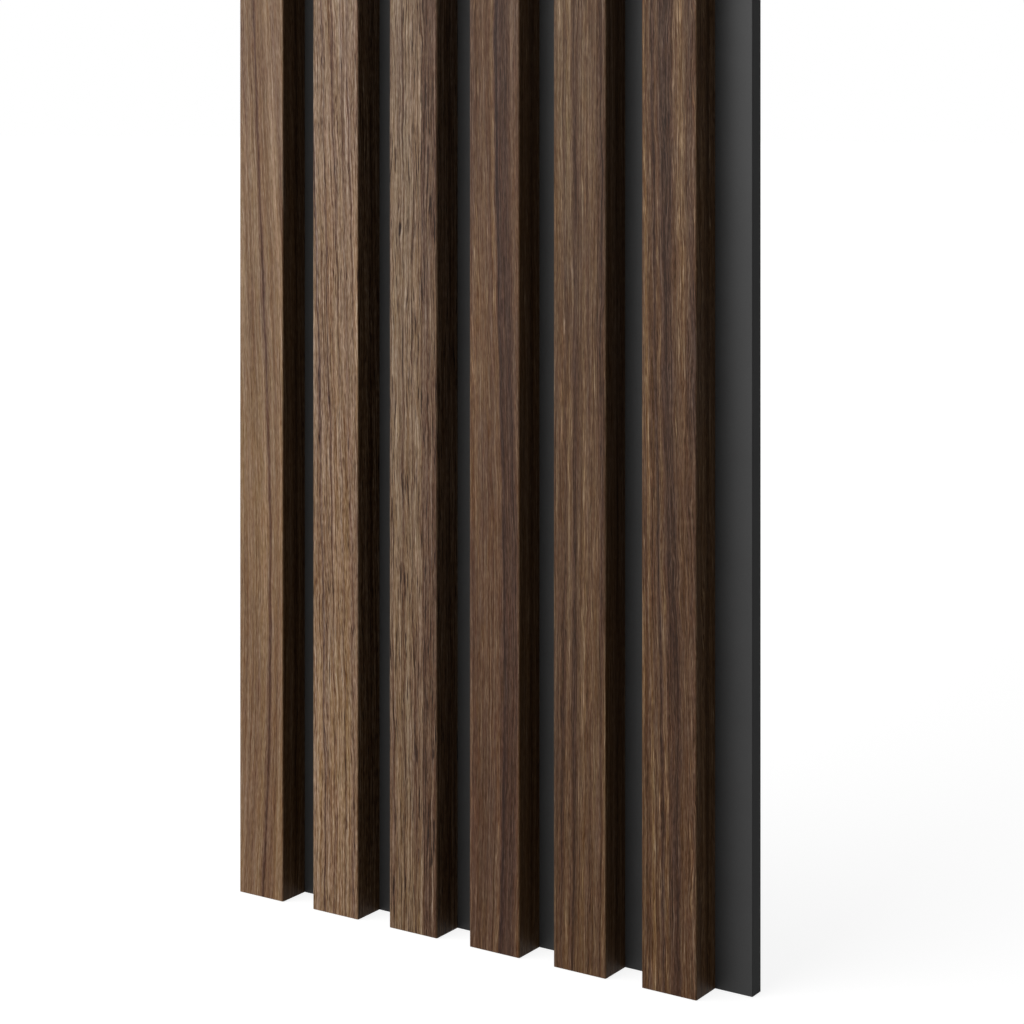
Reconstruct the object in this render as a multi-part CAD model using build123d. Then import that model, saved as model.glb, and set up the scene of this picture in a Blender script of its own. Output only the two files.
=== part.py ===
from build123d import *
import os

# Slat wall panel: six upright slats glued to the front of one thin backing board.
# The back of the board lies on the wall, in the plane y = 0, and the slats face -Y.
# Z is up and X runs to the viewer's right.
# The origin is at the foot of the back face, half way across the panel.

# Driving sizes, in millimetres
panel_height = 2750.0
slat_count = 6
slat_width = 30.0
slat_depth = 18.5
slat_gap = 20.0
slat_arris_radius = 0.8
board_thickness = 8.5
board_arris_radius = 0.4

# Sizes that follow from the driving ones.
# The first slat is flush with the board's left edge, and the board runs on past the last
# slat by one gap, so that the next panel butts against it and keeps the same spacing.
slat_pitch = slat_width + slat_gap
board_width = slat_count * slat_pitch
board_left_x = -board_width / 2
board_front_y = -board_thickness
slat_front_y = board_front_y - slat_depth


def section_box(left_x, front_y, width, depth):
    """A rectangle on the floor plane, from its front left corner towards +X and +Y."""
    middle = (left_x + width / 2, front_y + depth / 2)
    return Pos(*middle) * Rectangle(width, depth)


def round_corners(section, front_y, radius):
    """The section with the corners on its front line rounded."""
    corners = section.vertices().filter_by_position(Axis.Y, front_y, front_y)
    return fillet(corners, radius)


def make_backing_board():
    """The flat board, as wide as six pitches, with its two front arrises eased."""
    section = section_box(board_left_x, board_front_y, board_width, board_thickness)
    section = round_corners(section, board_front_y, board_arris_radius)
    return extrude(section, panel_height)


def make_slat(index):
    """One slat, counted from 0 at the left: square at the back, where it is glued, and
    rounded along its two front arrises, where the walnut finish is wrapped round it."""
    left_x = board_left_x + index * slat_pitch
    section = section_box(left_x, slat_front_y, slat_width, slat_depth)
    section = round_corners(section, slat_front_y, slat_arris_radius)
    return extrude(section, panel_height)


# One file for each piece
pieces = {"backing_board": make_backing_board()}
for index in range(slat_count):
    pieces[f"slat_{index + 1}"] = make_slat(index)

os.makedirs("parts", exist_ok=True)
for name, solid in pieces.items():
    export_step(solid, f"parts/{name}.step")
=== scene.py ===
import math

import bmesh
import bpy
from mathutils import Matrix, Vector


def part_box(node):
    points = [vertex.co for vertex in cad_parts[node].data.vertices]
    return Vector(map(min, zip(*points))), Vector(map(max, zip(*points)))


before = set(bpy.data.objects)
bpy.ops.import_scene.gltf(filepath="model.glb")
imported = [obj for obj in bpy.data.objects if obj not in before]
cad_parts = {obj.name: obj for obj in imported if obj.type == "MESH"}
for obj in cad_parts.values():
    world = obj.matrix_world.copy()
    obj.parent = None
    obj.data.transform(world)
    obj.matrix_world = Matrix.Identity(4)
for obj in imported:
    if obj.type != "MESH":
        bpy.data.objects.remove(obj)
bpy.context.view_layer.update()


# Backing board: one thin sheet of fine fibreboard, dyed dark grey right through, so that its cut
# edges and its back are as grey as its front. It is sanded smooth, and the slats are glued to it.

millimetres_per_metre = 1000.0


def paint(red, green, blue):
    """A colour given as screen values from 0 to 255, in the linear values that a shader takes."""
    screen = [value / 255 for value in (red, green, blue)]
    return tuple(v / 12.92 if v <= 0.04045 else ((v + 0.055) / 1.055) ** 2.4 for v in screen) + (1.0,)


def place(tree, kind, inputs, **settings):
    """Adds a node with these settings. Its inputs take sockets, which are linked, or plain values."""
    node = tree.nodes.new("ShaderNode" + kind)
    for name, value in settings.items():
        setattr(node, name, value)
    for key, value in inputs.items():
        if isinstance(value, bpy.types.NodeSocket):
            tree.links.new(value, node.inputs[key])
        else:
            node.inputs[key].default_value = value
    return node


def calculate(tree, operation, *values):
    """The result of a Math node on these values or sockets."""
    return place(tree, "Math", dict(enumerate(values)), operation=operation).outputs[0]


def remap(tree, value, low, high, to_low, to_high, curve="LINEAR"):
    """A value's range from low to high brought to another range, and held at its ends."""
    inputs = {"Value": value, "From Min": low, "From Max": high, "To Min": to_low, "To Max": to_high}
    return place(tree, "MapRange", inputs, interpolation_type=curve).outputs["Result"]


def shade_by(tree, value, shades):
    """The colour that a value picks from a scale of shades, given as places on it and colours."""
    scale = place(tree, "ValToRGB", {0: value})
    elements = scale.color_ramp.elements
    while len(elements) < len(shades):
        elements.new(0.5)
    for element, (position, shade) in zip(elements, shades):
        element.position = position
        element.color = paint(*shade)
    return scale.outputs[0]


def facing(tree, axis):
    """How far the surface faces along an axis, either way: 1 for squarely and 0 for not at all."""
    normal = place(tree, "TexCoord", {}).outputs["Normal"]
    parts = place(tree, "SeparateXYZ", {0: normal})
    return calculate(tree, "ABSOLUTE", parts.outputs["XYZ".index(axis)])


def in_millimetres(tree):
    """The place on the panel, in millimetres."""
    spot = place(tree, "TexCoord", {}).outputs["Object"]
    scaled = place(tree, "VectorMath", {0: spot, "Scale": millimetres_per_metre}, operation="SCALE")
    return scaled.outputs[0]


def speckle(tree, where, scale, detail, seed):
    """Even noise over the surface, with marks about 1/scale millimetres across."""
    moved = place(tree, "Mapping", {"Vector": where, "Location": (seed, seed, seed)}).outputs[0]
    return place(tree, "TexNoise", {"Vector": moved, "Scale": scale, "Detail": detail}).outputs[0]


def surface_bump(tree, height, metres, strength):
    """A fine relief, given by how deep it goes in metres."""
    return place(tree, "Bump", {"Height": height, "Distance": metres, "Strength": strength}).outputs[0]


def bare_material(name):
    """A new material, its nodes and its shader."""
    material = bpy.data.materials.new(name)
    material.use_nodes = True
    return material, material.node_tree, material.node_tree.nodes["Principled BSDF"]


board_shades = [(0.35, (56, 56, 56)), (0.65, (62, 62, 62))]
board_roughness = (0.36, 0.46)
fibre_relief = 0.00004

# the sawn edges are darker, rougher and less shiny than the sanded faces
edge_brightness = 0.9
edge_added_roughness = 0.1
edge_sheen = 0.035
face_sheen = 0.18

board_grey, tree, shader = bare_material("board_grey")
where = in_millimetres(tree)
fibres = speckle(tree, where, 1.6, 5.0, 3.1)
clouds = speckle(tree, where, 0.03, 3.0, 8.7)
mottle = calculate(tree, "MULTIPLY_ADD", clouds, 0.5, calculate(tree, "MULTIPLY", fibres, 0.5))
sanded = remap(tree, facing(tree, "Y"), 0.5, 1.0, 0.0, 1.0)
brightness = remap(tree, sanded, 0.0, 1.0, edge_brightness, 1.0)
grey = {"Color": shade_by(tree, mottle, board_shades), "Value": brightness}
grey = place(tree, "HueSaturation", grey).outputs[0]
roughness = remap(tree, fibres, 0.3, 0.7, *board_roughness)
roughness = calculate(tree, "ADD", roughness, remap(tree, sanded, 0.0, 1.0, edge_added_roughness, 0.0))
sheen = remap(tree, sanded, 0.0, 1.0, edge_sheen, face_sheen)
tree.links.new(grey, shader.inputs["Base Color"])
tree.links.new(roughness, shader.inputs["Roughness"])
tree.links.new(sheen, shader.inputs["Specular IOR Level"])
tree.links.new(surface_bump(tree, fibres, fibre_relief, 0.5), shader.inputs["Normal"])

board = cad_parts["backing_board"]
board.data.materials.clear()
board.data.materials.append(board_grey)


# Slats: six straight bars of one section, each with a walnut finish bonded round its front and
# sides. No two are cut from the same stretch of finish, so each has its own tone and figure.
# All sizes here are in millimetres. A tone goes from 0, blackish brown, to 1, the palest walnut.

walnut_shades = [
    (0.0, (34, 17, 7)),
    (0.12, (50, 29, 15)),
    (0.36, (83, 58, 42)),
    (0.64, (119, 93, 71)),
    (0.9, (154, 126, 102)),
    (1.0, (168, 142, 118)),
]
walnut_sheen = 0.12
walnut_roughness = (0.56, 0.46)
grain_relief = 0.00012

# the front turns to the plainer wood of the sides on the first bit of its rounded arris. Part of the
# sides' darker tone is painted shade, which this carries onto the arris
turn_depth = 0.16
side_hue = 0.513
side_drift = 0.03
side_bands = [(6.7, 1.9, 0.05), (11.0, 2.9, -0.16), (13.6, 2.2, 0.04)]

# painted sheen: the colour is richer near the foot and greyer up to this height and above it, standing
# in for a grey gloss of reflected light on the upper slats
sheened_top_height = 450.0
sheen_free_foot_richness = 0.05
sheened_top_richness = -0.03

# at the cut ends, the fibreboard core shows inside the thickness of the finish
finish_thickness = 0.5
core_shades = [(0.3, (128, 100, 70)), (0.7, (164, 135, 100))]


def streaks(tree, grain, width, length, seed, detail=2.0):
    """Noise drawn out along the grain, with marks of this width and length."""
    stretch = {"Vector": grain, "Location": (seed, seed * 0.37, 0), "Scale": (1 / width, 1, 1 / length)}
    drawn_out = place(tree, "Mapping", stretch).outputs[0]
    return place(tree, "TexNoise", {"Vector": drawn_out, "Scale": 1.0, "Detail": detail}).outputs[0]


def swing(tree, noise, reach):
    """Noise made to swing about zero, through this reach in all."""
    return calculate(tree, "MULTIPLY_ADD", noise, reach, -reach / 2)


def soft_spot(tree, across, height, middle, level, reach, length, strength):
    """A soft oval spot on the face of the slat, of full strength round its middle."""
    off = place(tree, "CombineXYZ", {
        0: calculate(tree, "MULTIPLY_ADD", across, 1 / reach, -middle / reach),
        1: calculate(tree, "MULTIPLY_ADD", height, 1 / length, -level / length),
    }).outputs[0]
    off = place(tree, "VectorMath", {0: off}, operation="LENGTH").outputs["Value"]
    return remap(tree, off, 0.3, 1.0, strength, 0.0, "SMOOTHSTEP")


def growth_rings(tree, unrolled, across, height, half_width, look):
    """Where a point lies across the growth rings. They wander over the slat in one long wave,
    with slow tremors on top, and with a quicker curl that may be stronger at one arris."""
    sway, wave_length, crest = look["wave"]
    turn = 2 * math.pi / wave_length
    wave = calculate(tree, "COSINE", calculate(tree, "MULTIPLY_ADD", height, turn, -crest * turn))
    flat = place(tree, "CombineXYZ", {0: unrolled, 2: height}).outputs[0]
    tremor = swing(tree, streaks(tree, flat, 12, 150, look["seed"] + 1, 3.0), 3.0)
    curl = calculate(tree, "SUBTRACT", streaks(tree, flat, 6, 30, look["seed"] + 10), 0.5)
    curl = calculate(tree, "MULTIPLY", curl, remap(tree, across, -half_width, half_width, *look["curl"]))
    swayed = calculate(tree, "MULTIPLY_ADD", wave, -sway, unrolled)
    return calculate(tree, "ADD", swayed, calculate(tree, "ADD", tremor, curl))


def add_bands(tree, tone, place_in_wood, bands):
    """The tone with soft bands lighter or darker, each given as middle, reach and change."""
    for middle, reach, change in bands:
        off = calculate(tree, "ABSOLUTE", calculate(tree, "SUBTRACT", place_in_wood, middle))
        tone = calculate(tree, "ADD", tone, remap(tree, off, 0.0, reach, change, 0.0, "SMOOTHSTEP"))
    return tone


def broad_figure(tree, ring, grain, across, height, look):
    """The light and dark of the figure: chance rings, the slat's own rings, and soft spots."""
    figure = swing(tree, streaks(tree, grain, 3.2, 400, look["seed"] + 2), look["rings"])
    figure = add_bands(tree, figure, ring, look["bands"])
    for start, blend, change in look["zones"]:
        zone = remap(tree, ring, start, start + blend, 0.0, change, "SMOOTHSTEP")
        figure = calculate(tree, "ADD", figure, zone)
    for spot in look["patches"]:
        figure = calculate(tree, "ADD", figure, soft_spot(tree, across, height, *spot))
    return figure


def shaded_side_tone(tree, depth, tone):
    """The plain wood of the sides, a little paler towards the board, with a few bands. Its dark tone is
    partly painted shade.
    """
    plain = remap(tree, depth, 1.0, 18.0, tone - side_drift, tone + side_drift)
    return add_bands(tree, plain, depth, side_bands)


def fine_grain(tree, grain, look):
    """Fine light and dark along the grain, from long lines to short flecks."""
    seed = look["seed"]
    lines = swing(tree, streaks(tree, grain, 0.9, 200, seed + 3), look["lines"])
    hairs = swing(tree, streaks(tree, grain, 0.5, 90, seed + 4), look["hairs"])
    fibres = swing(tree, streaks(tree, grain, 0.5, 20, seed + 5), look["fibres"])
    flecks = swing(tree, streaks(tree, grain, 0.5, 3.5, seed + 6), look["flecks"])
    long_marks = calculate(tree, "ADD", lines, hairs)
    short_marks = calculate(tree, "ADD", fibres, flecks)
    return calculate(tree, "ADD", long_marks, short_marks)


def dark_pores(tree, grain, look):
    """Short dark pores, which open where the noise is highest."""
    length, darkening = look["pores"]
    pores = streaks(tree, grain, 0.7, length, look["seed"] + 7)
    return remap(tree, pores, 0.57, 0.67, 0.0, -darkening, "SMOOTHSTEP")


def pale_marks(tree, grain, figure, across, height, look):
    """Pale fibres, which stand out most in light wood, and spots where short strokes crowd."""
    fibres = streaks(tree, grain, 0.5, 20, look["seed"] + 8)
    fibres = remap(tree, fibres, 0.59, 0.7, 0.0, look["pale"], "SMOOTHSTEP")
    marks = calculate(tree, "MULTIPLY", fibres, remap(tree, figure, -0.1, 0.15, 0.5, 1.6))
    strokes = streaks(tree, grain, 0.6, 8, look["seed"] + 13)
    strokes = remap(tree, strokes, 0.54, 0.68, 0.0, 1.0, "SMOOTHSTEP")
    for spot in look["glints"]:
        marks = calculate(tree, "MULTIPLY_ADD", strokes, soft_spot(tree, across, height, *spot), marks)
    return marks


def walnut_hue(tree, grain, figure, side, look):
    """The turn of the hue: redder in the dark of the figure, more golden where it is light."""
    hue = remap(tree, figure, -0.25, 0.1, look["hue"] - 0.007, look["hue"] + 0.003)
    drift = swing(tree, streaks(tree, grain, 5, 160, look["seed"] + 9), 0.014)
    threads = swing(tree, streaks(tree, grain, 0.8, 15, look["seed"] + 11), 0.03)
    hue = calculate(tree, "ADD", hue, calculate(tree, "ADD", drift, threads))
    return calculate(tree, "MULTIPLY_ADD", side, calculate(tree, "SUBTRACT", side_hue, hue), hue)


def walnut_richness(tree, grain, figure, grain_tone, height, look):
    """The strength of the colour, greyer higher up as painted sheen. The dark of the figure and the pale
    of the grain are greyer.
    """
    # painted sheen: the colour is greyed with height
    at_foot = look["richness"] + sheen_free_foot_richness
    richness = remap(tree, height, 0.0, sheened_top_height, at_foot, look["richness"] + sheened_top_richness)
    glow = remap(tree, figure, -0.25, 0.15, -0.25 * look["glow"], 0.15 * look["glow"])
    drift = swing(tree, streaks(tree, grain, 6, 120, look["seed"] + 14), 0.25)
    threads = swing(tree, streaks(tree, grain, 0.8, 12, look["seed"] + 12), 0.35)
    for change in (glow, drift, threads):
        richness = calculate(tree, "ADD", richness, change)
    return calculate(tree, "MULTIPLY_ADD", grain_tone, -0.4, richness)


def core_shows(tree, across, depth, half_width):
    """1 on a cut end inside the finish, where the core shows, and 0 elsewhere."""
    cut = calculate(tree, "GREATER_THAN", facing(tree, "Z"), 0.5)
    from_side = calculate(tree, "SUBTRACT", half_width, calculate(tree, "ABSOLUTE", across))
    from_face = calculate(tree, "MINIMUM", from_side, depth)
    inside = calculate(tree, "GREATER_THAN", from_face, finish_thickness)
    return calculate(tree, "MULTIPLY", cut, inside)


def walnut(name, centre, front, half_width, look):
    """The finish of one slat. Its grain runs on unbroken from the front round both sides."""
    material, tree, shader = bare_material(name)
    where = in_millimetres(tree)
    parts = place(tree, "SeparateXYZ", {0: where})
    across = calculate(tree, "SUBTRACT", parts.outputs[0], centre)
    depth = calculate(tree, "SUBTRACT", parts.outputs[1], front)
    height = parts.outputs[2]
    unrolled = calculate(tree, "MULTIPLY_ADD", calculate(tree, "SIGN", across), depth, across)
    ring = growth_rings(tree, unrolled, across, height, half_width, look)
    grain = place(tree, "CombineXYZ", {0: ring, 2: height}).outputs[0]

    # broad light and dark on the front, and the plain wood of the sides, whose darker tone is partly
    # painted shade
    figure = broad_figure(tree, ring, grain, across, height, look)
    on_side = remap(tree, depth, 0.0, turn_depth, 0.0, 1.0)
    tone = calculate(tree, "ADD", figure, look["tone"])
    to_side = calculate(tree, "SUBTRACT", shaded_side_tone(tree, depth, look["side"]), tone)
    tone = calculate(tree, "MULTIPLY_ADD", on_side, to_side, tone)

    # the grain in it
    grain_tone = fine_grain(tree, grain, look)
    pores = dark_pores(tree, grain, look)
    marks = calculate(tree, "ADD", pores, pale_marks(tree, grain, figure, across, height, look))
    tone = calculate(tree, "ADD", tone, calculate(tree, "ADD", grain_tone, marks))

    # its colour, and that of the core at the cut ends
    wood = place(tree, "HueSaturation", {
        "Color": shade_by(tree, tone, walnut_shades),
        "Hue": walnut_hue(tree, grain, figure, on_side, look),
        "Saturation": walnut_richness(tree, grain, figure, grain_tone, height, look),
    }).outputs[0]
    core = shade_by(tree, speckle(tree, where, 1.4, 5.0, look["seed"]), core_shades)
    shown = core_shows(tree, across, depth, half_width)
    colour = place(tree, "MixRGB", {"Fac": shown, "Color1": wood, "Color2": core}).outputs[0]

    relief = calculate(tree, "ADD", tone, pores)
    tree.links.new(colour, shader.inputs["Base Color"])
    tree.links.new(remap(tree, tone, 0.2, 0.8, *walnut_roughness), shader.inputs["Roughness"])
    tree.links.new(surface_bump(tree, relief, grain_relief, 0.6), shader.inputs["Normal"])
    shader.inputs["Specular IOR Level"].default_value = walnut_sheen
    return material


# The look of each slat, from left to right. Places are given across the slat from its middle line
# and up from its foot, and changes are changes of tone.
# wave: how far the rings sway, how long the wave is, and the height of a crest.
# curl: how strongly the grain curls at the left and at the right arris.
# bands: rings lighter or darker than the rest, as middle, reach and change.
# zones: where the wood changes for good, as start, blend and change.
# patches: soft oval spots, as place across, height, half their width, half their length, change.
# glints: spots of short pale strokes, given in the same way.
# side: the tone of the sides, darker than the front partly as painted shade, and darker still on the
# last slat, whose side is more open to the light.
slat_looks = [
    {
        "seed": 11.0, "tone": 0.6, "side": 0.35, "hue": 0.502, "richness": 1.02, "glow": 0.1,
        "wave": (8.0, 900.0, 170.0), "curl": (2.4, 2.4),
        "rings": 0.25, "lines": 0.55, "hairs": 0.4, "fibres": 0.45, "flecks": 0.5,
        "pores": (8.0, 0.08), "pale": 0.12,
        "bands": [
            (-11.0, 3.0, -0.06), (-5.5, 3.0, 0.05), (-1.6, 1.5, -0.24), (-1.2, 4.5, -0.06),
            (4.0, 1.6, -0.06), (8.5, 4.0, 0.09), (12.2, 1.6, -0.12),
        ],
        "zones": [],
        "patches": [
            (0.0, 215.0, 16.0, 110.0, 0.07), (-13.0, 370.0, 6.0, 90.0, 0.06),
            (4.0, 30.0, 14.0, 90.0, -0.05), (-10.0, 450.0, 6.0, 60.0, -0.07),
            (5.0, 98.0, 3.0, 45.0, -0.08), (5.0, 450.0, 4.0, 50.0, -0.08),
            (-13.5, 225.0, 3.0, 70.0, 0.08), (-13.5, 30.0, 3.0, 50.0, 0.08),
            (14.0, 115.0, 3.0, 110.0, -0.07), (-4.0, 355.0, 6.0, 55.0, 0.05),
        ],
        "glints": [],
    },
    {
        "seed": 23.0, "tone": 0.65, "side": 0.35, "hue": 0.5025, "richness": 1.0, "glow": 0.4,
        "wave": (6.0, 1300.0, 10.0), "curl": (3.4, 3.4),
        "rings": 0.15, "lines": 0.7, "hairs": 1.2, "fibres": 0.65, "flecks": 0.75,
        "pores": (11.0, 0.34), "pale": 0.2,
        "bands": [
            (-12.4, 1.1, -0.34), (-6.0, 1.2, -0.18), (1.0, 1.2, -0.18), (6.5, 1.5, -0.12),
            (11.0, 1.2, -0.12), (13.5, 2.0, 0.08),
        ],
        "zones": [],
        "patches": [
            (4.0, 120.0, 9.0, 170.0, 0.07), (10.0, 440.0, 9.0, 110.0, -0.09),
            (12.0, 170.0, 5.0, 110.0, -0.07), (-10.5, 80.0, 3.0, 90.0, 0.12),
            (-10.5, 270.0, 3.0, 50.0, -0.1), (-1.5, 95.0, 3.0, 70.0, 0.09),
            (1.5, 290.0, 3.0, 110.0, 0.08),
        ],
        "glints": [(-1.5, 200.0, 5.0, 150.0, 0.12)],
    },
    {
        "seed": 37.0, "tone": 0.585, "side": 0.35, "hue": 0.507, "richness": 0.94, "glow": 0.0,
        "wave": (1.0, 900.0, -20.0), "curl": (3.6, 2.4),
        "rings": 0.25, "lines": 0.6, "hairs": 0.8, "fibres": 0.7, "flecks": 0.6,
        "pores": (16.0, 0.5), "pale": 0.24,
        "bands": [(-13.5, 1.5, -0.08), (-10.5, 3.0, 0.06), (-5.8, 1.3, -0.14), (0.5, 1.3, -0.12)],
        "zones": [(5.2, 1.2, -0.23)],
        "patches": [
            (13.0, 315.0, 4.0, 60.0, 0.15), (-13.0, 60.0, 6.0, 110.0, -0.12),
            (2.0, 100.0, 5.0, 90.0, -0.1), (4.5, 155.0, 3.0, 45.0, -0.12),
            (-8.0, 440.0, 5.0, 50.0, -0.12),
        ],
        "glints": [(-2.0, 300.0, 6.0, 80.0, 0.15)],
    },
    {
        "seed": 41.0, "tone": 0.385, "side": 0.34, "hue": 0.502, "richness": 1.01, "glow": 0.6,
        "wave": (2.5, 600.0, 150.0), "curl": (2.4, 2.4),
        "rings": 0.15, "lines": 0.4, "hairs": 0.45, "fibres": 0.4, "flecks": 0.45,
        "pores": (8.0, 0.06), "pale": 0.3,
        "bands": [(1.0, 2.0, 0.05), (3.9, 1.3, -0.1)],
        "zones": [(2.2, 1.2, -0.17), (10.0, 3.5, 0.16)],
        "patches": [
            (-7.0, 50.0, 12.0, 110.0, -0.07), (-14.0, 420.0, 5.0, 90.0, -0.1),
            (-10.0, 270.0, 8.0, 110.0, 0.06), (-12.0, 170.0, 5.0, 70.0, -0.06),
            (4.5, 110.0, 2.5, 130.0, -0.11), (-6.0, 240.0, 6.0, 50.0, -0.07),
        ],
        "glints": [(-12.0, 310.0, 3.5, 60.0, 0.2), (12.5, 300.0, 2.5, 100.0, 0.15)],
    },
    {
        "seed": 53.0, "tone": 0.36, "side": 0.33, "hue": 0.506, "richness": 1.0, "glow": 0.35,
        "wave": (2.0, 1300.0, 290.0), "curl": (2.4, 2.4),
        "rings": 0.12, "lines": 0.45, "hairs": 0.6, "fibres": 0.4, "flecks": 0.45,
        "pores": (10.0, 0.14), "pale": 0.26,
        "bands": [
            (-10.4, 1.8, -0.14), (-8.0, 2.0, 0.06), (-4.6, 2.3, -0.17), (1.0, 3.0, 0.09),
            (10.5, 1.8, -0.1), (13.0, 2.0, 0.06),
        ],
        "zones": [],
        "patches": [
            (-10.0, 420.0, 10.0, 150.0, 0.11), (14.0, 330.0, 6.0, 260.0, -0.1),
            (-8.0, 100.0, 9.0, 120.0, -0.05), (-4.0, 370.0, 4.5, 120.0, -0.06),
            (-2.5, 340.0, 2.5, 60.0, 0.08), (1.5, 370.0, 3.0, 60.0, -0.07),
            (5.0, 80.0, 3.0, 110.0, -0.05),
            (4.5, 330.0, 2.5, 110.0, -0.06), (-8.5, 275.0, 4.0, 60.0, 0.07),
        ],
        "glints": [(4.5, 290.0, 4.0, 110.0, 0.07)],
    },
    {
        "seed": 67.0, "tone": 0.345, "side": 0.25, "hue": 0.504, "richness": 1.02, "glow": 0.6,
        "wave": (3.0, 900.0, 20.0), "curl": (1.5, 6.0),
        "rings": 0.18, "lines": 0.5, "hairs": 0.6, "fibres": 0.55, "flecks": 0.55,
        "pores": (8.0, 0.12), "pale": 0.36,
        "bands": [
            (-11.0, 1.6, 0.16), (-6.0, 1.6, -0.18), (-3.8, 1.5, 0.08), (0.3, 4.8, -0.18),
            (2.6, 1.2, -0.06), (8.5, 4.0, 0.05), (14.5, 2.5, -0.06),
        ],
        "zones": [],
        "patches": [
            (9.0, 140.0, 9.0, 190.0, -0.05), (6.0, 400.0, 5.0, 130.0, 0.04),
            (13.0, 300.0, 5.0, 55.0, -0.13), (-9.0, 160.0, 5.0, 70.0, -0.05),
            (-13.5, 155.0, 3.0, 50.0, 0.08), (2.5, 120.0, 3.5, 60.0, 0.06),
        ],
        "glints": [(6.0, 390.0, 5.5, 140.0, 0.17)],
    },
]

for number, look in enumerate(slat_looks, start=1):
    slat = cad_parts[f"slat_{number}"]
    low, high = (corner * millimetres_per_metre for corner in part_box(slat.name))
    middle_line = (low.x + high.x) / 2
    finish = walnut(f"walnut_{number}", middle_line, low.y, (high.x - low.x) / 2, look)
    slat.data.materials.clear()
    slat.data.materials.append(finish)


# Room: a plain pale floor just under the panel's foot, which catches its shadow, and plain white
# behind. Both look white in the picture, and only as much of that white lights the panel as the
# ambient strength gives.

floor_half_size = 30.0
floor_drop = 0.0005
floor_diffuse = (0.3, 0.3, 0.3, 1.0)
floor_near = (0.6, 0.86)
floor_far = (4.0, 1.0)
ambient_strength = 0.24
backdrop_strength = 1.0
white = (1.0, 1.0, 1.0, 1.0)


def seen_rays(tree):
    """1 for the rays that show this surface in the picture, also in gloss or glass, and else 0."""
    path = place(tree, "LightPath", {})
    seen = calculate(tree, "MAXIMUM", path.outputs["Is Camera Ray"], path.outputs["Is Glossy Ray"])
    return calculate(tree, "MAXIMUM", seen, path.outputs["Is Transmission Ray"])


floor_mesh = bpy.data.meshes.new("floor")
sheet = bmesh.new()
bmesh.ops.create_grid(sheet, x_segments=1, y_segments=1, size=floor_half_size)
bmesh.ops.translate(sheet, verts=sheet.verts, vec=(0, 0, -floor_drop))
sheet.to_mesh(floor_mesh)
sheet.free()
floor = bpy.data.objects.new("floor", floor_mesh)
bpy.context.scene.collection.objects.link(floor)

floor_white = bpy.data.materials.new("floor_white")
floor_white.use_nodes = True
tree = floor_white.node_tree
diffuse = place(tree, "BsdfDiffuse", {"Color": floor_diffuse}).outputs[0]
spot = place(tree, "TexCoord", {}).outputs["Object"]
from_foot = place(tree, "VectorMath", {0: spot}, operation="LENGTH")
(near, near_glow), (far, far_glow) = floor_near, floor_far
glow = remap(tree, from_foot.outputs["Value"], near, far, near_glow, far_glow, "SMOOTHSTEP")
glowing = place(tree, "Emission", {"Color": white, "Strength": glow}).outputs[0]
pale = place(tree, "AddShader", {0: diffuse, 1: glowing}).outputs[0]
surface = place(tree, "MixShader", {0: seen_rays(tree), 1: diffuse, 2: pale}).outputs[0]
tree.links.new(surface, tree.nodes["Material Output"].inputs["Surface"])
floor_mesh.materials.append(floor_white)

world = bpy.data.worlds.new("studio")
bpy.context.scene.world = world
world.use_nodes = True
tree = world.node_tree
ambient = place(tree, "Background", {"Color": white, "Strength": ambient_strength}).outputs[0]
backdrop = place(tree, "Background", {"Color": white, "Strength": backdrop_strength}).outputs[0]
sky = place(tree, "MixShader", {0: seen_rays(tree), 1: ambient, 2: backdrop}).outputs[0]
tree.links.new(sky, tree.nodes["World Output"].inputs["Surface"])


# Lamp: one large soft panel of light, upright, in front of the slats and to their left, turned
# towards the panel's middle line.

key_left = 1.4
key_out = 1.9
key_height = 1.55

key_light = bpy.data.lights.new("key", "AREA")
key_light.shape = "RECTANGLE"
key_light.size = 4.4
key_light.size_y = 2.8
key_light.energy = 126.0
key_lamp = bpy.data.objects.new("key", key_light)
bpy.context.scene.collection.objects.link(key_lamp)
key_lamp.location = (-key_left, -key_out, key_height)
key_lamp.rotation_euler = (math.pi / 2, 0, math.atan2(-key_left, key_out))


# Camera: level, at knee height and turned to the left, so that every upright stays upright. Its
# shift alone brings the panel's foot into the picture.

scene = bpy.context.scene
scene.view_settings.view_transform = "Standard"
camera_data = bpy.data.cameras.new("camera")
camera_data.lens = 81.144
camera_data.sensor_width = 36.0
camera_data.shift_y = -0.38897
camera = bpy.data.objects.new("camera", camera_data)
scene.collection.objects.link(camera)
scene.camera = camera
camera.location = (0.65558, -0.98704, 0.41932)
camera.rotation_euler = (math.pi / 2, 0, math.radians(33.27))
